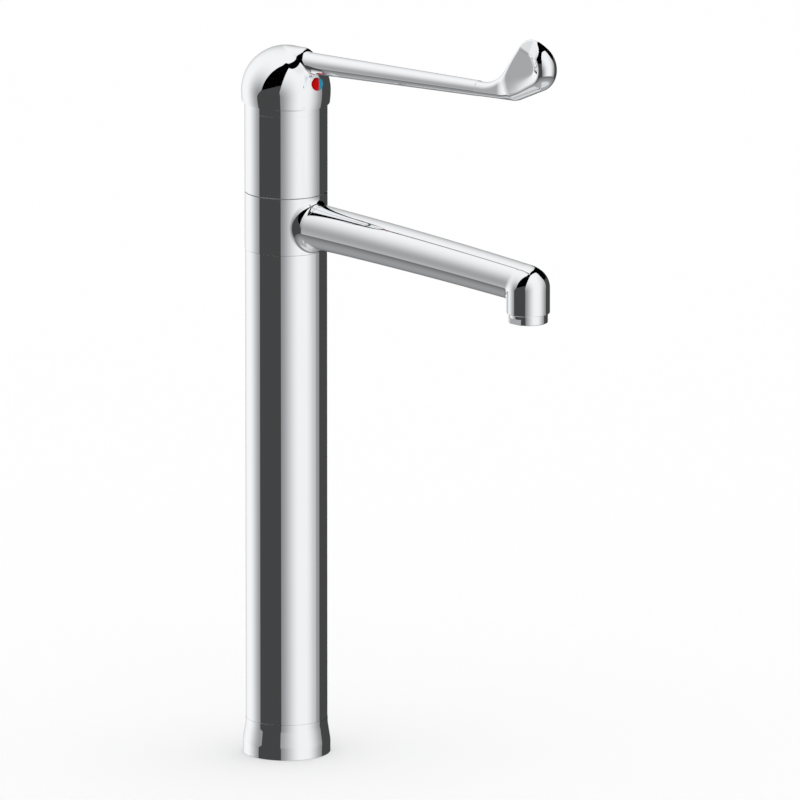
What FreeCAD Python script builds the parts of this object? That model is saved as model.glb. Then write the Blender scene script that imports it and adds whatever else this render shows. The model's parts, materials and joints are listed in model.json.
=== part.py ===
import FreeCAD, Part
import math
import os

V = FreeCAD.Vector

# Tall single-lever mixer tap with a swivel spout and a long elbow lever.
# Origin: centre of the base's underside. +Z up, +X towards the spout's outlet. Millimetres.
# Facing the tap from +X, hot is on the left (-Y) and cold on the right (+Y).

# Clearances
FIT = 0.05            # radial play between fixed pieces, and of every turning bore
SLIDE = 0.1           # axial play under a turning or sliding piece
SEAM = 0.3            # open seam between the turning collar and its neighbours
HUB_GAP = 0.3         # radial gap between the lever's hub and the sleeve under it

# Column and base
COLUMN_WALL = 2.5
COLUMN_H = 316.5
SPIGOT_WALL = 1.5     # wall left where the column is turned down inside the base ring
RING_H = 21.9
RING_FLARE = 1.7      # the foot's radius is this much larger than the column's
RING_FOOT_H = 5.0
RING_NECK_H = 8.0
RING_NOTCH = 0.15     # the ring's top stands proud of the column by this much
GASKET_W = 1.2
GASKET_H = 1.4
GASKET_INSET = 0.1    # the gasket's middle circle lies this far inside the column's surface

# Inlet block in the foot of the column
BLOCK_Z = 2.0
BLOCK_H = 30.0
INLET_R = 4.5         # M10x1 tapping bore
INLET_DEPTH = 14.0
INLET_Y = 9.0
STUD_R = 3.4          # M8 tapping bore
STUD_DEPTH = 14.0
STUD_X = 11.5
SUPPLY_R = 5.0
SUPPLY_WALL = 1.0
SUPPLY_SOCKET = 10.0
SUPPLY_WAY_R = 3.2
PLUG_WEB = 8.5        # metal between the valve body's supply sockets and the column's top
CLAMP_SCREW_R = 2.0
CLAMP_SCREW_IN = 7.0  # reach of each clamp screw into the block
CLAMP_SCREW_COUNT = 3
CLAMP_SCREW_ANGLE = 30.0
CLAMP_SCREW_Z = 13.0
CLAMP_SCREW_SINK = 0.3    # screw heads lie this far under the spigot's surface
HEX_DEPTH = 2.0

# Seals with a round section
CORD_R = 0.8

# Swivel collar and spout
COLLAR_H = 35.7
COLLAR_STEP = 0.3     # collar and sleeve are this much larger in radius than the column
COLLAR_WALL = 1.55    # metal outside the glide rings
BARREL_WALL = 2.5     # metal round the cartridge
GLIDE_W = 3.4
GLIDE_H = 2.0
GALLERY_DEPTH = 2.3   # ring-shaped waterway inside the collar
GALLERY_HALF_H = 5.5
SEAL_LAND = 1.2       # metal left between the gallery and each seal
PORT_R = 4.0
SPOUT_REACH = 203.0
SPOUT_SINK = 0.9      # the arm starts this far inside the collar's surface
SPOUT_R_ROOT = 14.2
SPOUT_R_END = 12.2
SPOUT_DROP_START = 1.1    # slope at the collar, degrees below level
SPOUT_DROP_END = 3.3      # slope at the nozzle, degrees below level
SPOUT_FILLET = 3.0
SPOUT_BORE = 8.6
NOZZLE_R = 13.25
NOZZLE_DROP = 17.6    # from the middle of the arm's end to the nozzle's lower face
NOZZLE_CHAMFER = 0.6
STOP_PIN_R = 1.5
STOP_PIN_OUT = 1.2    # how far the pin stands out of the barrel
STOP_PIN_IN = 2.0
STOP_PIN_LAND = 1.5   # metal left between the upper seal and the pin
SWIVEL_HALF = 60.0    # degrees each way

# Aerator, M24x1 with 22 mm spanner flats
AERATOR_R = 12.0
AERATOR_BORE = 11.6
AERATOR_SHOW = 5.8
AERATOR_THREAD_H = 7.0
AERATOR_WALL = 1.4
AERATOR_LIP = 1.2
AERATOR_FLAT_HALF = 11.0
AERATOR_FLAT_H = 3.6
AERATOR_SEAL_H = 1.6
MESH_H = 0.8
MESH_BARS = 7
MESH_BAR_W = 0.7
JET_RINGS = [(3.5, 6), (6.5, 12)]     # radius and number of the jets in each ring
JET_R = 0.7

# Upper body
SLEEVE_H = 51.0
SLEEVE_WALL = 2.0
SLEEVE_LIP_H = 2.0
SLEEVE_LIP_W = 2.1
CLAMP_RING_H = 6.0
NUT_SKIRT_H = 13.0
NUT_NECK_WALL = 3.5
NUT_NECK_H = 7.6
NUT_FLANGE_H = 3.0
NUT_LIP = 4.1         # the nut's flange covers this much of the cartridge's edge
CROWN_H = 9.0         # the crown rises this far above the lever's pivot

# Cartridge
CART_R = 17.5
CART_WALL = 1.8
CART_H = 35.0
CART_TOP_DROP = 4.2   # cartridge top below the lever's pivot
CART_BASE_H = 16.8
PORT_SEAL_H = 0.9
DISC_H = 4.0
FIXED_DISC_GAP = 0.7
MOVING_DISC_R = 12.6
CHAMBER_R = 4.8       # mixing chamber in the moving disc
CHAMBER_X = 6.4
CARRIER_H = 5.0
ROTOR_FLANGE_H = 3.0
ROTOR_NECK_GAP = 0.6
ROTOR_NECK_TOP = 6.0  # neck top above the pivot
STEM_SLOT_HALF_X = 6.6
STEM_HALF = 4.0
STEM_ARM_R = 1.4
STEM_BALL_R = 2.0
STEM_TOP = 24.0
STEM_LEAN = 12.5      # degrees from upright when the tap is closed
PIVOT_PIN_R = 1.5
PIVOT_PIN_END = 0.6   # pin ends this far inside the neck

# Lever
HUB_WALL = 1.7
HUB_TUCK = 0.8        # the hub draws in by this much at its lower edge
HUB_CENTRE = 11.9     # dome's centre above the pivot
HUB_EDGE = 4.6        # hub's lower edge above the pivot, on the axis
HUB_EDGE_SLOPE = 2.0  # degrees, lower at the front
BOSS_R = 8.0
BOSS_CLEAR = 13.6     # boss stays this far from the pivot
ROD_AXIS = 30.7       # rod's axis above the pivot, on the tap's axis
ROD_SLOPE = 2.6       # degrees up from level
ROD_R_ROOT = 6.6
ROD_R_END = 4.7
ROD_END_X = 162.0
ROD_START_X = 12.0
# Lever root, each section: place along X, half width, half depth, centre below the rod's axis
ROOT_SECTIONS = [(8.0, 14.7, 12.2, 7.3), (20.0, 11.2, 10.2, 4.8), (29.0, 7.8, 7.5, 1.7), (44.0, 5.0, 4.9, 0.0)]
PADDLE_HALF = 7.5
PADDLE_WEB_HALF = 4.6
PADDLE_L = 63.0       # from the rod's end to the nose
PADDLE_OVERLAP = 9.0  # the rod runs this far into the paddle
PADDLE_RISE = 37.744  # paddle's top above the rod's axis at the rod's end
PADDLE_FILLET = 3.0
# Outline seen from the side. Neck and underside: ahead of the rod's end, above its axis there
PADDLE_NECK = [(4.0, 4.6), (16.0, 8.0), (25.0, 16.5)]
PADDLE_LOW = [(33.0, -3.256), (21.0, -4.656), (4.0, -4.3)]
# Head, from the top's rear round the nose: back from the nose, below the top
PADDLE_HEAD = [(31.0, 8.6), (25.5, 2.5), (18.0, 0.0), (10.5, 3.0), (3.0, 12.0), (0.0, 21.0)]
PADDLE_CHIN = [(4.5, 30.0), (14.0, 35.5)]
# Outline seen from above
PLAN_LEAD = 4.0       # starts this far before the rod's end
PLAN_NECK = (8.0, 0.3)    # ahead of the rod's end, outside the rod's end radius
PLAN_FLAT = 14.0      # length of the flat sides before the round nose
PLAN_SWELL = (10.0, 0.7)  # before the flat sides, inside them
# Pocket in each side: back from the nose, below the top. Straight, then one arc, then straight
POCKET_BACK = [(37.8, 25.3), (46.0, 14.0), (23.7, 6.2), (16.1, 8.6)]
POCKET_ARC = [(11.9, 15.1), (22.4, 29.3)]
POCKET_FRONT = (38.3, 32.8)

# Index button and the grub screw behind it
BUTTON_R = 3.9
BUTTON_OUT = 0.7      # the button's face stands this far beyond the hub's radius
BUTTON_Z = 19.2       # above the pivot
BUTTON_H = 3.0
BUTTON_CROWN = 0.5
GRUB_R = 2.5
GRUB_L = 12.0
GRUB_BOSS_R = 5.6

# Places worked out from the sizes above
BARREL_R = CART_R + BARREL_WALL
COLLAR_BORE = BARREL_R + FIT
GLIDE_R = COLLAR_BORE + GLIDE_W
COLLAR_R = GLIDE_R + SEAM + COLLAR_WALL
GALLERY_R = BARREL_R + GALLERY_DEPTH
COLUMN_R = COLLAR_R - COLLAR_STEP
RING_FOOT_R = COLUMN_R + RING_FLARE
GASKET_R = COLUMN_R - GASKET_INSET
COLUMN_BORE = COLUMN_R - COLUMN_WALL
SPIGOT_R = COLUMN_BORE + SPIGOT_WALL
BLOCK_R = COLUMN_BORE - FIT
BLOCK_TOP = BLOCK_Z + BLOCK_H
COLLAR_Z0 = COLUMN_H + SEAM
SLEEVE_Z0 = COLUMN_H + COLLAR_H
COLLAR_Z1 = SLEEVE_Z0 - SEAM
SPOUT_Z = COLUMN_H + COLLAR_H / 2
PIVOT_Z = SLEEVE_Z0 + SLEEVE_H
CART_TOP = PIVOT_Z - CART_TOP_DROP
SEAT_Z = CART_TOP - CART_H
PLUG_H = SUPPLY_SOCKET + PLUG_WEB
PLUG_Z = COLUMN_H - PLUG_H
OUTLET_X = INLET_Y
NUT_NECK_R = CART_R + NUT_NECK_WALL
NUT_BORE = CART_R - NUT_LIP
FIXED_DISC_R = CART_R - CART_WALL - FIXED_DISC_GAP
CART_MOUTH_R = NUT_BORE - CART_WALL
ROTOR_NECK_R = CART_MOUTH_R - ROTOR_NECK_GAP
HUB_R = COLLAR_R + HUB_GAP + HUB_WALL
HUB_EDGE_R = HUB_R - HUB_TUCK
BUTTON_X = HUB_R + BUTTON_OUT
PADDLE_NOSE_X = ROD_END_X + PADDLE_L


def line(a, b):
    return Part.LineSegment(V(a[0], 0, a[1]), V(b[0], 0, b[1])).toShape()


def arc(a, m, b):
    return Part.Arc(V(a[0], 0, a[1]), V(m[0], 0, m[1]), V(b[0], 0, b[1])).toShape()


def cyl(r, z0, z1, x=0.0, y=0.0):
    return Part.makeCylinder(r, z1 - z0, V(x, y, z0))


def tube(r_out, r_in, z0, z1, x=0.0, y=0.0):
    return cyl(r_out, z0, z1, x, y).cut(cyl(r_in, z0 - 1, z1 + 1, x, y))


def turned(edges):
    face = Part.Face(Part.Wire(edges))
    return face.revolve(V(0, 0, 0), V(0, 0, 1), 360)


def turned_points(points):
    closed = [V(r, 0, z) for r, z in points + points[:1]]
    return Part.Face(Part.makePolygon(closed)).revolve(V(0, 0, 0), V(0, 0, 1), 360)


def slab(x0, x1, y0, y1, z0, z1):
    return Part.makeBox(x1 - x0, y1 - y0, z1 - z0, V(x0, y0, z0))


def rod_along(r, start, direction, length):
    return Part.makeCylinder(r, length, start, direction)


def hexagon(across_flats, start, direction, length):
    corner = across_flats / math.sqrt(3)
    points = []
    for i in range(7):
        angle = math.radians(60 * i)
        points.append(V(corner * math.cos(angle), corner * math.sin(angle), 0))
    prism = Part.Face(Part.makePolygon(points)).extrude(V(0, 0, length))
    turn = FreeCAD.Rotation(V(0, 0, 1), direction)
    prism.Placement = FreeCAD.Placement(start, turn)
    return prism


def o_ring(r_in, z, x=0.0, y=0.0):
    return Part.makeTorus(r_in + CORD_R, CORD_R, V(x, y, z), V(0, 0, 1))


def merge(first, *others):
    return first.fuse(list(others)).removeSplitter()


def fillet_near(shape, radius, wanted):
    edges = [e for e in shape.Edges if wanted(e)]
    return shape.makeFillet(radius, edges)


def lean(shape):
    shape.rotate(V(0, 0, PIVOT_Z), V(0, 1, 0), STEM_LEAN)
    return shape


# Column, base ring and inlet block

def bell_curve(r_top, z_top, r_foot, z_foot):
    half_r = (r_foot - r_top) / 2
    half_z = (z_top - z_foot) / 2
    bend = (half_z ** 2 + half_r ** 2) / (2 * half_r)
    sweep = math.asin(half_z / bend) / 2
    mid = (r_top + half_r, z_foot + half_z)
    m1 = (r_top + bend * (1 - math.cos(sweep)), z_top - bend * math.sin(sweep))
    m2 = (r_foot - bend * (1 - math.cos(sweep)), z_foot + bend * math.sin(sweep))
    return [arc((r_top, z_top), m1, mid), arc(mid, m2, (r_foot, z_foot))]


def base_ring():
    top_r = COLUMN_R + RING_NOTCH
    bore = SPIGOT_R + FIT
    neck_z = RING_H - RING_NECK_H
    edges = [line((bore, 0), (bore, RING_H)), line((bore, RING_H), (top_r, RING_H))]
    edges.append(line((top_r, RING_H), (top_r, neck_z)))
    edges += bell_curve(top_r, neck_z, RING_FOOT_R, RING_FOOT_H)
    edges.append(line((RING_FOOT_R, RING_FOOT_H), (RING_FOOT_R, 0)))
    edges.append(line((RING_FOOT_R, 0), (bore, 0)))
    ring = turned(edges)
    groove_r = GASKET_R + GASKET_W / 2
    return ring.cut(tube(groove_r, groove_r - GASKET_W, -1, GASKET_H))


def base_gasket():
    groove_r = GASKET_R + GASKET_W / 2
    return tube(groove_r, groove_r - GASKET_W, 0, GASKET_H)


def clamp_screw_angles():
    step = 360.0 / CLAMP_SCREW_COUNT
    return [CLAMP_SCREW_ANGLE + step * i for i in range(CLAMP_SCREW_COUNT)]


def radial(angle):
    turn = math.radians(angle)
    return V(math.cos(turn), math.sin(turn), 0)


def clamp_screws():
    screws = []
    inner = BLOCK_R - CLAMP_SCREW_IN
    for angle in clamp_screw_angles():
        out = radial(angle)
        start = out * inner + V(0, 0, CLAMP_SCREW_Z)
        length = SPIGOT_R - CLAMP_SCREW_SINK - inner
        screw = rod_along(CLAMP_SCREW_R - FIT, start, out, length)
        socket = hexagon(CLAMP_SCREW_R, start + out * (length - HEX_DEPTH), out, HEX_DEPTH + 1)
        screws.append(screw.cut(socket))
    return Part.makeCompound(screws)


def clamp_screw_holes():
    holes = []
    inner = BLOCK_R - CLAMP_SCREW_IN - FIT
    for angle in clamp_screw_angles():
        start = radial(angle) * inner + V(0, 0, CLAMP_SCREW_Z)
        holes.append(rod_along(CLAMP_SCREW_R, start, radial(angle), COLUMN_R - inner))
    return holes


def column_tube():
    points = [(COLUMN_BORE, SEAM), (SPIGOT_R, SEAM), (SPIGOT_R, RING_H + FIT)]
    points += [(COLUMN_R, RING_H + FIT), (COLUMN_R, COLUMN_H), (COLUMN_BORE, COLUMN_H)]
    return turned_points(points).cut(clamp_screw_holes())


def supply_socket(z_mouth, z_end, y):
    low = min(z_mouth, z_end)
    high = max(z_mouth, z_end)
    socket = cyl(SUPPLY_R + FIT, low, high, 0, y)
    seal_z = (low + high) / 2
    groove = cyl(SUPPLY_R + 2 * CORD_R, seal_z - CORD_R, seal_z + CORD_R, 0, y)
    return socket.fuse(groove)


def inlet_block():
    block = cyl(BLOCK_R, BLOCK_Z, BLOCK_TOP)
    cuts = clamp_screw_holes()
    for side in (-1, 1):
        y = side * INLET_Y
        cuts.append(cyl(INLET_R, BLOCK_Z - 1, BLOCK_Z + INLET_DEPTH, 0, y))
        cuts.append(cyl(SUPPLY_WAY_R, BLOCK_Z, BLOCK_TOP, 0, y))
        cuts.append(supply_socket(BLOCK_TOP, BLOCK_TOP - SUPPLY_SOCKET, y))
        cuts.append(cyl(STUD_R, BLOCK_Z - 1, BLOCK_Z + STUD_DEPTH, side * STUD_X, 0))
    return block.cut(cuts)


def supply_tube(side):
    low = BLOCK_TOP - SUPPLY_SOCKET
    return tube(SUPPLY_R, SUPPLY_R - SUPPLY_WALL, low, PLUG_Z + SUPPLY_SOCKET, 0, side * INLET_Y)


def supply_o_rings():
    rings = []
    for side in (-1, 1):
        for z in (BLOCK_TOP - SUPPLY_SOCKET / 2, PLUG_Z + SUPPLY_SOCKET / 2):
            rings.append(o_ring(SUPPLY_R, z, 0, side * INLET_Y))
    return Part.makeCompound(rings)


# Valve body and what rides on its barrel

def seal_levels():
    offset = GALLERY_HALF_H + SEAL_LAND + CORD_R
    return (SPOUT_Z - offset, SPOUT_Z + offset)


def stop_pin_z():
    return seal_levels()[1] + CORD_R + STOP_PIN_LAND + STOP_PIN_R


def valve_body():
    barrel_top = CART_TOP - SEAM
    body = merge(cyl(BLOCK_R, PLUG_Z, COLUMN_H), cyl(BARREL_R, COLUMN_H, barrel_top))
    cuts = [cyl(CART_R + FIT, SEAT_Z, barrel_top + 1)]
    for side in (-1, 1):
        y = side * INLET_Y
        cuts.append(supply_socket(PLUG_Z, PLUG_Z + SUPPLY_SOCKET, y))
        cuts.append(cyl(SUPPLY_WAY_R, PLUG_Z, SEAT_Z + 1, 0, y))
    cuts.append(cyl(SUPPLY_WAY_R, SPOUT_Z, SEAT_Z + 1, OUTLET_X))
    cuts.append(rod_along(PORT_R, V(OUTLET_X - SUPPLY_WAY_R, 0, SPOUT_Z), V(1, 0, 0), BARREL_R))
    seal_floor = BARREL_R - 2 * CORD_R
    for z in seal_levels():
        cuts.append(tube(BARREL_R + 1, seal_floor, z - CORD_R, z + CORD_R))
    pin_start = V(-BARREL_R + STOP_PIN_IN, 0, stop_pin_z())
    cuts.append(rod_along(STOP_PIN_R, pin_start, V(-1, 0, 0), STOP_PIN_IN + 1))
    return body.cut(cuts)


def spout_seals():
    return Part.makeCompound([o_ring(BARREL_R - 2 * CORD_R, z) for z in seal_levels()])


def swivel_stop_pin():
    start = V(-BARREL_R + STOP_PIN_IN, 0, stop_pin_z())
    return rod_along(STOP_PIN_R - FIT, start, V(-1, 0, 0), STOP_PIN_IN + STOP_PIN_OUT)


def lower_glide_ring():
    return tube(GLIDE_R, BARREL_R + FIT, COLUMN_H, COLUMN_H + GLIDE_H)


def upper_glide_ring():
    return tube(GLIDE_R, BARREL_R + FIT, SLEEVE_Z0 - GLIDE_H, SLEEVE_Z0)


def sleeve_bore():
    return COLLAR_R - SLEEVE_WALL


def clamp_ring():
    return tube(sleeve_bore() - FIT, BARREL_R + FIT, SLEEVE_Z0, SLEEVE_Z0 + CLAMP_RING_H)


# Spout

def arm_bend():
    rise = math.sin(math.radians(SPOUT_DROP_END)) - math.sin(math.radians(SPOUT_DROP_START))
    return SPOUT_REACH / rise


def arm_point(x):
    bend = arm_bend()
    x_top = -bend * math.sin(math.radians(SPOUT_DROP_START))
    drop = bend * math.cos(math.radians(SPOUT_DROP_START)) - math.sqrt(bend ** 2 - (x - x_top) ** 2)
    slope = math.asin((x - x_top) / bend)
    return V(x, 0, SPOUT_Z - drop), V(math.cos(slope), 0, -math.sin(slope))


def arm_r(x):
    return SPOUT_R_ROOT + (SPOUT_R_END - SPOUT_R_ROOT) * x / SPOUT_REACH


def arm_loft(radius_at, x0, x1, count=5):
    wires = []
    for i in range(count):
        x = x0 + (x1 - x0) * i / (count - 1)
        point, direction = arm_point(x)
        circle = Part.makeCircle(radius_at(x), point, direction)
        wires.append(Part.Wire([circle]))
    return Part.makeLoft(wires, True, False)


def nozzle_end():
    return arm_point(SPOUT_REACH)[0].z


def nozzle_bottom():
    return nozzle_end() - NOZZLE_DROP


def nozzle():
    centre_z = nozzle_end() + SPOUT_R_END - NOZZLE_R
    low = nozzle_bottom()
    edge_r = NOZZLE_R - NOZZLE_CHAMFER
    edges = [line((0, low), (edge_r, low)), line((edge_r, low), (NOZZLE_R, low + NOZZLE_CHAMFER))]
    edges.append(line((NOZZLE_R, low + NOZZLE_CHAMFER), (NOZZLE_R, centre_z)))
    half = NOZZLE_R * math.sqrt(0.5)
    edges.append(arc((NOZZLE_R, centre_z), (half, centre_z + half), (0, centre_z + NOZZLE_R)))
    edges.append(line((0, centre_z + NOZZLE_R), (0, low)))
    body = turned(edges)
    body.translate(V(SPOUT_REACH, 0, 0))
    return body


def stop_groove():
    spread = math.degrees(STOP_PIN_R / BARREL_R)
    start = 180 - SWIVEL_HALF - spread
    sweep = 2 * (SWIVEL_HALF + spread)
    z0 = stop_pin_z() - STOP_PIN_R - SEAM
    height = 2 * (STOP_PIN_R + SEAM)
    outer = BARREL_R + STOP_PIN_OUT + SEAM
    wedge = Part.makeCylinder(outer, height, V(0, 0, z0), V(0, 0, 1), sweep)
    wedge.rotate(V(0, 0, 0), V(0, 0, 1), start)
    return wedge


def spout():
    collar = cyl(COLLAR_R, COLLAR_Z0, COLLAR_Z1)
    start = math.sqrt(COLLAR_R ** 2 - SPOUT_R_ROOT ** 2) - SPOUT_SINK
    arm = arm_loft(arm_r, start, SPOUT_REACH)
    body = merge(collar, arm)

    def at_root(edge):
        box = edge.BoundBox
        return box.XMax < COLLAR_R + 1 and box.ZMin > COLLAR_Z0 + 1 and box.ZMax < COLLAR_Z1 - 1

    body = fillet_near(body, SPOUT_FILLET, at_root)
    body = merge(body, nozzle())
    gallery = cyl(GALLERY_R, SPOUT_Z - GALLERY_HALF_H, SPOUT_Z + GALLERY_HALF_H)
    bore = cyl(COLLAR_BORE, COLLAR_Z0 - 1, COLLAR_Z1 + 1)
    glide_r = GLIDE_R + SEAM
    low_seat = cyl(glide_r, COLLAR_Z0 - 1, COLUMN_H + GLIDE_H + SLIDE)
    high_seat = cyl(glide_r, SLEEVE_Z0 - GLIDE_H - SLIDE, COLLAR_Z1 + 1)
    waterway = arm_loft(lambda x: SPOUT_BORE, BARREL_R, SPOUT_REACH)
    shoulder = nozzle_bottom() + AERATOR_THREAD_H + AERATOR_SEAL_H
    drop = cyl(SPOUT_BORE, shoulder - 1, nozzle_end(), SPOUT_REACH)
    crown = Part.makeSphere(SPOUT_BORE, V(SPOUT_REACH, 0, nozzle_end()))
    thread = cyl(AERATOR_BORE, nozzle_bottom() - 1, shoulder, SPOUT_REACH)
    return body.cut([gallery, bore, low_seat, high_seat, waterway, drop, crown, thread, stop_groove()])


# Aerator in the nozzle

def aerator_bottom():
    return nozzle_bottom() - AERATOR_SHOW


def aerator_bore():
    return AERATOR_BORE - FIT - AERATOR_WALL


def aerator_housing():
    low = aerator_bottom()
    top = nozzle_bottom() + AERATOR_THREAD_H
    collar = cyl(AERATOR_R, low, nozzle_bottom(), SPOUT_REACH)
    flats = slab(SPOUT_REACH - AERATOR_R, SPOUT_REACH + AERATOR_R, -AERATOR_FLAT_HALF,
                 AERATOR_FLAT_HALF, low - 1, low + AERATOR_FLAT_H)
    above = cyl(AERATOR_R + 1, low + AERATOR_FLAT_H, nozzle_bottom() + 1, SPOUT_REACH)
    collar = collar.common(flats.fuse(above))
    body = merge(collar, cyl(AERATOR_BORE - FIT, nozzle_bottom(), top, SPOUT_REACH))
    bore = cyl(aerator_bore(), low + AERATOR_LIP, top + 1, SPOUT_REACH)
    mouth = cyl(aerator_bore() - AERATOR_LIP, low - 1, low + AERATOR_LIP + 1, SPOUT_REACH)
    return body.cut([bore, mouth])


def aerator_mesh():
    low = aerator_bottom() + AERATOR_LIP
    radius = aerator_bore() - FIT
    disc = cyl(radius, low, low + MESH_H, SPOUT_REACH)
    pitch = 2 * radius / (MESH_BARS + 1)
    inner = cyl(radius - MESH_BAR_W, low - 1, low + MESH_H + 1, SPOUT_REACH)
    gap = pitch - MESH_BAR_W
    holes = []
    for i in range(MESH_BARS + 1):
        for j in range(MESH_BARS + 1):
            x = SPOUT_REACH - radius + pitch * i + MESH_BAR_W / 2
            y = -radius + pitch * j + MESH_BAR_W / 2
            middle = math.hypot(x + gap / 2 - SPOUT_REACH, y + gap / 2)
            if middle < radius - MESH_BAR_W:
                hole = slab(x, x + gap, y, y + gap, low - 1, low + MESH_H + 1)
                holes.append(hole.common(inner))
    return disc.cut(holes)


def aerator_insert():
    low = aerator_bottom() + AERATOR_LIP + MESH_H
    top = nozzle_bottom() + AERATOR_THREAD_H
    radius = aerator_bore() - FIT
    body = cyl(radius, low, top, SPOUT_REACH)
    body = body.cut(cyl(radius - AERATOR_WALL, low - 1, low + AERATOR_SHOW, SPOUT_REACH))
    jets = []
    for ring_r, count in JET_RINGS:
        for i in range(count):
            turn = 2 * math.pi * i / count
            x = SPOUT_REACH + ring_r * math.cos(turn)
            jets.append(cyl(JET_R, low - 1, top + 1, x, ring_r * math.sin(turn)))
    return body.cut(jets)


def aerator_seal():
    low = nozzle_bottom() + AERATOR_THREAD_H
    return tube(AERATOR_BORE - FIT, SPOUT_BORE, low, low + AERATOR_SEAL_H, SPOUT_REACH)


# Sleeve, nut and crown

def upper_sleeve():
    lip_z = SLEEVE_Z0 + CLAMP_RING_H
    lip_r = sleeve_bore() - SLEEVE_LIP_W
    points = [(sleeve_bore(), SLEEVE_Z0 + FIT), (COLLAR_R, SLEEVE_Z0 + FIT), (COLLAR_R, PIVOT_Z)]
    points += [(sleeve_bore(), PIVOT_Z), (sleeve_bore(), lip_z + SLEEVE_LIP_H)]
    points += [(lip_r, lip_z + SLEEVE_LIP_H), (lip_r, lip_z), (sleeve_bore(), lip_z)]
    return turned_points(points)


def cartridge_nut():
    skirt_r = sleeve_bore() - FIT
    top = PIVOT_Z + NUT_NECK_H
    points = [(BARREL_R + FIT, CART_TOP - NUT_SKIRT_H), (skirt_r, CART_TOP - NUT_SKIRT_H)]
    points += [(skirt_r, PIVOT_Z - FIT), (NUT_NECK_R, PIVOT_Z - FIT), (NUT_NECK_R, top)]
    points += [(CART_R, top), (CART_R, CART_TOP + NUT_FLANGE_H), (NUT_BORE, CART_TOP + NUT_FLANGE_H)]
    points += [(NUT_BORE, CART_TOP), (BARREL_R + FIT, CART_TOP)]
    return turned_points(points)


def crown_cap():
    top_r = math.sqrt(COLLAR_R ** 2 - CROWN_H ** 2)
    half = math.asin(CROWN_H / COLLAR_R) / 2
    middle = (COLLAR_R * math.cos(half), PIVOT_Z + COLLAR_R * math.sin(half))
    bore = NUT_NECK_R + FIT
    top = PIVOT_Z + CROWN_H
    edges = [line((bore, PIVOT_Z), (COLLAR_R, PIVOT_Z)), arc((COLLAR_R, PIVOT_Z), middle, (top_r, top))]
    edges += [line((top_r, top), (bore, top)), line((bore, top), (bore, PIVOT_Z))]
    return turned(edges)


# Cartridge

def shell_bore():
    return CART_R - CART_WALL


def base_top():
    return SEAT_Z + CART_BASE_H


def fixed_disc_z():
    return base_top() + SLIDE / 2


def moving_disc_z():
    return fixed_disc_z() + DISC_H + FIT


def rotor_floor():
    return moving_disc_z() + DISC_H + CARRIER_H + SLIDE


def port_places():
    return [(0.0, -INLET_Y), (0.0, INLET_Y), (OUTLET_X, 0.0)]


def cartridge_shell():
    low = base_top()
    body = cyl(CART_R, low, CART_TOP)
    body = body.cut(cyl(shell_bore(), low - 1, CART_TOP - CART_WALL))
    return body.cut(cyl(CART_MOUTH_R, low, CART_TOP + 1))


def cartridge_base():
    body = cyl(CART_R, SEAT_Z, base_top())
    cuts = []
    for x, y in port_places():
        cuts.append(cyl(SUPPLY_WAY_R, SEAT_Z - 1, base_top() + 1, x, y))
        cuts.append(cyl(SUPPLY_WAY_R + AERATOR_WALL, SEAT_Z - 1, SEAT_Z + PORT_SEAL_H, x, y))
    return body.cut(cuts)


def port_seals():
    seals = []
    for x, y in port_places():
        outer = SUPPLY_WAY_R + AERATOR_WALL
        seals.append(tube(outer, SUPPLY_WAY_R, SEAT_Z, SEAT_Z + PORT_SEAL_H, x, y))
    return Part.makeCompound(seals)


def fixed_disc():
    z = fixed_disc_z()
    ports = [cyl(SUPPLY_WAY_R, z - 1, z + DISC_H + 1, x, y) for x, y in port_places()]
    return cyl(FIXED_DISC_R, z, z + DISC_H).cut(ports)


def closed_offset():
    return -stem_arm_length() * math.sin(math.radians(STEM_LEAN))


def moving_disc():
    z = moving_disc_z()
    disc = cyl(MOVING_DISC_R, z, z + DISC_H, closed_offset())
    chamber = cyl(CHAMBER_R, z - 1, z + DISC_H / 2, closed_offset() + CHAMBER_X)
    return disc.cut(chamber)


def disc_carrier():
    z = moving_disc_z() + DISC_H
    top = z + CARRIER_H
    body = cyl(MOVING_DISC_R, z, top, closed_offset())
    pocket_z = PIVOT_Z - stem_arm_length() - STEM_BALL_R - SLIDE
    return body.cut(cyl(STEM_BALL_R + SLIDE, pocket_z, top + 1, closed_offset()))


def stem_arm_length():
    carrier_top = moving_disc_z() + DISC_H + CARRIER_H
    return PIVOT_Z - carrier_top + CARRIER_H / 2


def cartridge_rotor():
    low = rotor_floor()
    top = PIVOT_Z + ROTOR_NECK_TOP
    flange_r = shell_bore() - FIT
    flange = cyl(flange_r, low, low + ROTOR_FLANGE_H)
    neck = cyl(ROTOR_NECK_R, low, top)
    body = merge(flange, neck)
    half_y = STEM_HALF + SLIDE
    slot = slab(-STEM_SLOT_HALF_X, STEM_SLOT_HALF_X, -half_y, half_y, low - 1, top + 1)
    pin = rod_along(PIVOT_PIN_R, V(0, -ROTOR_NECK_R - 1, PIVOT_Z), V(0, 1, 0), 2 * ROTOR_NECK_R + 2)
    return body.cut([slot, pin])


def stem_pivot_pin():
    half = ROTOR_NECK_R - PIVOT_PIN_END
    return rod_along(PIVOT_PIN_R, V(0, -half, PIVOT_Z), V(0, 1, 0), 2 * half)


def stem():
    shank = slab(-STEM_HALF, STEM_HALF, -STEM_HALF, STEM_HALF, PIVOT_Z - STEM_HALF, PIVOT_Z + STEM_TOP)
    tip = PIVOT_Z - stem_arm_length()
    arm = cyl(STEM_ARM_R, tip, PIVOT_Z)
    ball = Part.makeSphere(STEM_BALL_R, V(0, 0, tip))
    body = merge(shank, arm, ball)
    bore = rod_along(PIVOT_PIN_R + FIT, V(0, -BARREL_R, PIVOT_Z), V(0, 1, 0), 2 * BARREL_R)
    return lean(body.cut(bore))


# Lever

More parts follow.
